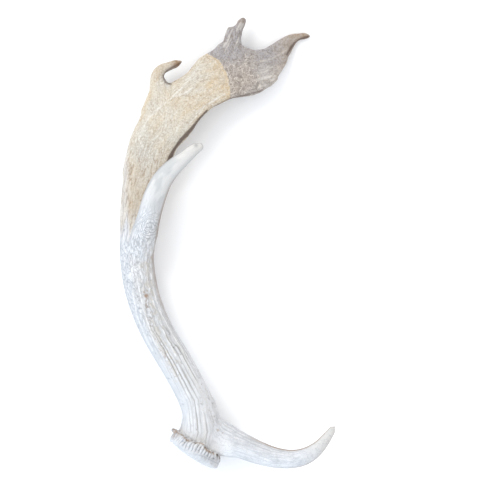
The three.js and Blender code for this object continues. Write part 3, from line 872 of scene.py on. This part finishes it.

# ---------------------------------------------------------------------------------------------
# The finish. Cast antler is dead bone: bleached where it lay in the open, polished where the buck
# rubbed its tines on trees, and stained by bark and earth. What the marks above found is kept on
# each corner of the surface, and the finish colours the bone by it. Some of it is painted light:
# shade in hollows and on edges that turn from the lamps, and highlights on crests and rims.

def finish_nodes(material):
    """Weathered antler: bone coloured by its stains, its relief and a fine grain, with shade and highlights
    painted in.
    """
    material.use_nodes = True
    tree = material.node_tree
    tree.nodes.clear()

    def node(kind, inputs, **settings):
        return add_node(tree, kind, inputs, **settings)

    def maths(operation, *values, **settings):
        return node("ShaderNodeMath", dict(enumerate(values)), operation=operation, **settings)

    def fact(name):
        return node("ShaderNodeAttribute", {}, attribute_name=name).outputs["Fac"]

    def speckle(size, detail=3.0):
        """Shapeless blots of about a size."""
        return node("ShaderNodeTexNoise", {"Vector": place, "Scale": 1 / size, "Detail": detail})

    def scaled(value, low, high, to_low, to_high):
        limits = {"Value": value, "From Min": low, "From Max": high, "To Min": to_low, "To Max": to_high}
        return node("ShaderNodeMapRange", limits, interpolation_type="SMOOTHSTEP")

    def times(first, second):
        return maths("MULTIPLY", first, second, use_clamp=True)

    def mixed(under, over, share):
        """The colour over laid on the colour under by its share. Either may be a colour's name."""
        under, over = ((*COLOURS[colour], 1) if colour in COLOURS else colour for colour in (under, over))
        return node("ShaderNodeMix", {"Factor": share, 6: under, 7: over}, data_type="RGBA").outputs[2]

    def lines_of(field, width):
        """1 along the thin lines where a grain changes sign, and 0 between them."""
        return scaled(maths("ABSOLUTE", fact(field)), width, 0.3 * width, 0.0, 1.0)

    def crests_of(field, low, high, most_share):
        """0 where a grain is weak, rising to a share where it is strong."""
        return scaled(maths("ABSOLUTE", fact(field)), low, high, 0.0, most_share)

    def thin_net(size, width, seed):
        """1 along thin winding lines about a size apart, and 0 between them."""
        field = node("ShaderNodeTexNoise", {"Vector": place, "W": seed, "Scale": 1 / size, "Detail": 1.0},
                     noise_dimensions="4D")
        return scaled(maths("ABSOLUTE", maths("SUBTRACT", field, 0.5)), width, 0.3 * width, 0.0, 1.0)

    def most_of(first, *others):
        for other in others:
            first = maths("MAXIMUM", first, other)
        return first

    place = node("ShaderNodeTexCoord", {}).outputs["Object"]
    fine, grain, patchy = speckle(0.0011), speckle(0.0017, 2.0), speckle(0.012)
    # Lighter bone on the crests of the grain and on the ribs: painted highlight along the ridges, and painted
    # light on the brow's root and the beam's foot. The pale net of vessel marks is laid on in the same
    # colour.
    crest_highlights = most_of(times(crests_of("fine_grain", 0.7, 1.5, 0.9), fact("lines")),
                     times(crests_of("worm_grain", 0.7, 1.5, 0.9), fact("worms")),
                     times(crests_of("flute_wave", 0.8, 1.0, 0.8), fact("flutes")), fact("ribs"))
    # The dark marks: the lines of the grain, the worn net, the flanks beside the ribs, and the hollows. In
    # the grooves, clefts and pits, and on edges that turn from the light, this dark is painted shade.
    marks = most_of(times(times(lines_of("fine_grain", 0.34), fact("lines")), 0.8),
                    times(times(lines_of("worm_grain", 0.36), fact("worms")), 0.8),
                    times(times(lines_of("flute_wave", 0.65), fact("flutes")), 0.75),
                    times(times(thin_net(0.0036, 0.035, 1), fact("worn")), 0.6),
                    times(fact("flanks"), 0.45), fact("hollow"))
    bone = mixed("bone", "bone_shade", scaled(patchy, 0.35, 0.75, 0.0, 1.0))
    bone = mixed(bone, "bone_shade", times(scaled(fine, 0.5, 0.3, 0.0, 1.0), fact("worn")))
    pale_net = times(times(thin_net(0.005, 0.03, 2), fact("worn")), 0.8)
    bone = mixed(bone, "bone_highlight_and_pale", most_of(crest_highlights, pale_net))
    bone = mixed(mixed(bone, "bone_polished", fact("gloss")), "bone_mottle_and_shade", fact("mottle_and_shade"))
    tan = mixed(mixed("tan", "tan_deep", fact("orange")), "tan_ashen", fact("ashen"))
    tan = mixed(tan, "tan_pale", scaled(grain, 0.5, 0.72, 0.0, 0.75))
    tan = mixed(tan, "tan_dark", scaled(grain, 0.48, 0.28, 0.0, 0.75))
    tan = mixed(tan, "tan_vein", times(thin_net(0.008, 0.016, 3), 0.6))
    grey = mixed("grey", "grey_cool", fact("cool"))
    grey = mixed(grey, "grey_dark", scaled(grain, 0.52, 0.3, 0.0, 0.75))
    grey = mixed(grey, "grey_pale", fact("pale"))
    grey = mixed(grey, "grey_dark", scaled(speckle(0.005), 0.5, 0.36, 0.0, 0.5))
    grey_net = most_of(thin_net(0.009, 0.016, 4), thin_net(0.0048, 0.021, 5))
    grey = mixed(grey, "grey_vein", times(grey_net, scaled(fact("cool"), 0.3, 0.9, 1.0, 0.3)))
    colour = mixed(mixed(bone, tan, fact("tan")), grey, fact("grey"))
    for overlay, share in (("tan_vein", "vein"), ("grey_vein", "grey_vein"), ("beige", "beige")):
        colour = mixed(colour, overlay, fact(share))
    dark = mixed(mixed("hollow", "hollow_cool_shade", fact("cool_shade_tint")), "tan_mark", fact("tan"))
    colour = mixed(colour, mixed(dark, "grey_dark", fact("grey")), marks)
    # Last come the brown staining, and the painted shade on the edges of the beam, the tines and the palm.
    for overlay in ("brown_stain_and_shade", "palm_edge_shade"):
        colour = mixed(colour, overlay, fact(overlay))
    dent = node("ShaderNodeBump", {"Strength": scaled(fact("gloss"), 0.0, 1.0, 0.5, 0.08), "Distance": 0.0005,
                                   "Height": fine})
    skin = node("ShaderNodeBsdfPrincipled", {
        "Base Color": colour, "Roughness": scaled(fact("gloss"), 0.0, 1.0, 0.62, 0.36),
        "Specular IOR Level": 0.35, "Normal": dent})
    node("ShaderNodeOutputMaterial", {"Surface": skin})


COLOURS = {
    "bone": (0.622, 0.633, 0.657),
    "bone_shade": (0.496, 0.509, 0.531),
    "bone_highlight_and_pale": (0.739, 0.744, 0.748),
    "bone_polished": (0.592, 0.585, 0.57),
    "bone_mottle_and_shade": (0.461, 0.47, 0.47),
    "tan": (0.544, 0.509, 0.439),
    "tan_deep": (0.57, 0.452, 0.3),
    "tan_pale": (0.626, 0.592, 0.522),
    "tan_dark": (0.383, 0.326, 0.252),
    "tan_vein": (0.679, 0.652, 0.592),
    "tan_mark": (0.278, 0.217, 0.152),
    "tan_ashen": (0.47, 0.461, 0.435),
    "grey": (0.4, 0.346, 0.298),
    "grey_cool": (0.339, 0.322, 0.331),
    "grey_dark": (0.191, 0.161, 0.139),
    "grey_pale": (0.55, 0.515, 0.475),
    "grey_vein": (0.592, 0.539, 0.479),
    "beige": (0.555, 0.518, 0.463),
    "hollow": (0.261, 0.248, 0.226),
    "hollow_cool_shade": (0.235, 0.265, 0.313),
    "brown_stain_and_shade": (0.244, 0.148, 0.083),
    "palm_edge_shade": (0.074, 0.044, 0.031),
}
finish_nodes(antler_finish)

# ---------------------------------------------------------------------------------------------
# The seven pieces. The one surface is cut along the solid pieces' own borders, and each cut is closed
# by a fan to its middle. Both sides of a border keep the same corners and normals, so no seam shows,
# as there is none in bone that grew in one.

def piece_of_each_face():
    """The number of the solid piece that each face belongs to, with the small stray ones cleaned."""
    middle = distances[quads].mean(1)
    label = middle.argmin(1)
    for _ in range(6):
        crowd = np.zeros((len(points), len(names)), np.int16)
        for corner in range(4):
            np.add.at(crowd, (quads[:, corner], label), 1)
        mixed_corner = (crowd > 0).sum(1) > 1
        around = crowd[quads].sum(1)
        border = mixed_corner[quads].any(1)
        label = np.where(border, around.argmax(1), label)
    return label


def loops_of(edges):
    """The closed loops in a set of edges that each run on from another."""
    after = dict(edges.tolist())
    loops = []
    while after:
        first, corner = after.popitem()
        loop = [first]
        while corner != first:
            loop.append(corner)
            corner = after.pop(corner)
        loops.append(loop)
    return loops


def open_edges(faces):
    """The edges that only one of these faces has."""
    edges = np.stack([faces, np.roll(faces, -1, axis=1)], -1).reshape(-1, 2)
    key = edges[:, 0] * len(points) + edges[:, 1]
    back = edges[:, 1] * len(points) + edges[:, 0]
    return edges[~np.isin(key, back)]


def six_views(places, faces, facing, caps):
    """Where each face's corners lie on a square sheet that shows a piece from its six sides."""
    low, (wide, tall, high) = places.min(0), np.ptp(places, axis=0) + SHEET_GAP
    spots = np.zeros((len(faces), 4, 2))
    axis = np.abs(facing).argmax(1)
    for seen_along, seen, first, second in ((2, (0, 1), (0, high), (wide, high)),
                                            (0, (2, 1), (2 * wide, high), (2 * wide + high, high)),
                                            (1, (0, 2), (0, 0), (wide, 0))):
        for start, side in ((first, facing[:, seen_along] > 0), (second, facing[:, seen_along] <= 0)):
            chosen = (axis == seen_along) & side
            spots[chosen] = (places - low)[faces[chosen]][:, :, seen] + start
    room = 2 * high / max(len(caps), 1)
    fans = []
    for number, corners in enumerate(caps):
        middle = np.array((2 * wide + (number + 0.5) * room, 0.5 * high))
        turn = np.arange(corners + 1) / corners * 2 * math.pi
        around = middle + 0.35 * min(room, high) * np.stack([np.cos(turn), np.sin(turn)], 1)
        fans.append(np.stack([around[1:], around[:-1], np.repeat(middle[None], corners, 0)], 1))
    flat = np.concatenate([spots.reshape(-1, 2)] + [fan.reshape(-1, 2) for fan in fans])
    return flat / max(2 * wide + 2 * high, tall + high)


def cut_out(faces):
    """A piece's corners by number, its faces and caps between them, and the loops that the caps close."""
    used, own = np.unique(faces, return_inverse=True)
    renumber = {int(old): new for new, old in enumerate(used)}
    loops = loops_of(open_edges(faces))
    caps = []
    for number, loop in enumerate(loops):
        corners = [renumber[corner] for corner in loop]
        caps += [(b, a, len(used) + number) for a, b in zip(corners, corners[1:] + corners[:1])]
    return used, own.reshape(-1, 4), np.array(caps, np.int32).reshape(-1, 3), loops


def mesh_of(name, places, own, caps):
    """A mesh of a piece's four-sided faces and three-sided caps."""
    mesh = bpy.data.meshes.new(name)
    corners_in = np.concatenate([own.ravel(), caps.ravel()]).astype(np.int32)
    starts = np.concatenate([np.arange(len(own)) * 4, len(own) * 4 + np.arange(len(caps)) * 3])
    mesh.vertices.add(len(places))
    mesh.vertices.foreach_set("co", places.astype(np.float32).ravel())
    mesh.loops.add(len(corners_in))
    mesh.loops.foreach_set("vertex_index", corners_in)
    mesh.polygons.add(len(own) + len(caps))
    mesh.polygons.foreach_set("loop_start", starts.astype(np.int32))
    mesh.update(calc_edges=True)
    mesh.validate(verbose=True)
    return mesh


def cap_normals(places, caps):
    """A flat normal for each of the caps' corners."""
    flat = np.cross(places[caps[:, 1]] - places[caps[:, 0]], places[caps[:, 2]] - places[caps[:, 0]])
    flat /= np.linalg.norm(flat, axis=1, keepdims=True) + 1e-12
    return np.repeat(flat, 3, axis=0)


SHEET_GAP = 0.003  # between the views of a piece on its sheet
label = piece_of_each_face()
for number, name in enumerate(names):
    faces = quads[label == number]
    used, own, caps, loops = cut_out(faces)
    middles = np.array([displaced[loop].mean(0) for loop in loops], np.float32).reshape(-1, 3)
    places = np.concatenate([displaced[used], middles]) * MM
    mesh = mesh_of(name, places, own, caps)
    for fact_name, fact_values in facts.items():
        values = np.concatenate([fact_values[used], np.zeros(len(loops))])
        mesh.attributes.new(fact_name, "FLOAT", "POINT").data.foreach_set("value", values.astype(np.float32))
    spots = six_views(places, own, turned[label == number], [len(loop) for loop in loops])
    mesh.uv_layers.new(name="OFBake").uv.foreach_set("vector", spots.astype(np.float32).ravel())
    shading = np.concatenate([normals[faces.ravel()], cap_normals(places, caps)]).astype(np.float32)
    mesh.normals_split_custom_set(shading)
    mesh.materials.append(antler_finish)
    shown = new_object("antler_" + name, mesh)
    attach(shown, "root")
    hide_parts(name)

# ---------------------------------------------------------------------------------------------
# The room. The antler lies on matt white paper in an evenly lit pale room, with a large warm lamp up
# on the left and a large cool one low on the near side. The camera hangs far above it and looks
# straight down, so that the tines that rise towards it hardly grow.

FLOOR = 3.0  # half of the paper's width
CAMERA_HEIGHT = 8.0
ANTLER_MIDDLE = 0.03   # the height at which the picture's width is measured
PICTURE_WIDTH = 0.528
SENSOR_WIDTH = 36
floor_mesh = bpy.data.meshes.new("floor")
floor_mesh.from_pydata([(-FLOOR, -FLOOR, 0), (FLOOR, -FLOOR, 0), (FLOOR, FLOOR, 0), (-FLOOR, FLOOR, 0)],
                       [], [(0, 1, 2, 3)])
floor_object = new_object("floor", floor_mesh)
paper = bpy.data.materials.new("white_paper")
paper.use_nodes = True
paper_skin = paper.node_tree.nodes["Principled BSDF"]
paper_skin.inputs["Base Color"].default_value = (0.96, 0.96, 0.96, 1)
paper_skin.inputs["Roughness"].default_value = 0.9
paper_skin.inputs["Specular IOR Level"].default_value = 0.1
floor_mesh.materials.append(paper)

room = bpy.data.worlds.new("room")
bpy.context.scene.world = room
room.use_nodes = True
room.node_tree.nodes["Background"].inputs["Color"].default_value = (0.97, 0.98, 1.0, 1)
room.node_tree.nodes["Background"].inputs["Strength"].default_value = 1.13


def softbox(name, at, size, power, colour):
    lamp = bpy.data.lights.new(name, "AREA")
    lamp.shape = "SQUARE"
    lamp.size = size
    lamp.energy = power
    lamp.color = colour
    holder = new_object(name, lamp)
    holder.location = at
    holder.rotation_euler = (-Vector(at)).to_track_quat("-Z", "Y").to_euler()


softbox("key", (-1.3, 1.5, 1.8), 1.2, 25, (1.0, 0.99, 0.97))
softbox("fill", (-1.3, -1.5, 0.9), 1.2, 17, (0.62, 0.80, 1.0))

lens = bpy.data.cameras.new("camera")
camera = new_object("camera", lens)
camera.location = (0.0142, 0.0033, CAMERA_HEIGHT)
lens.sensor_width = SENSOR_WIDTH
lens.lens = SENSOR_WIDTH * (CAMERA_HEIGHT - ANTLER_MIDDLE) / PICTURE_WIDTH
lens.clip_end = 2.5 * CAMERA_HEIGHT
bpy.context.scene.camera = camera
bpy.context.scene.view_settings.view_transform = "Standard"
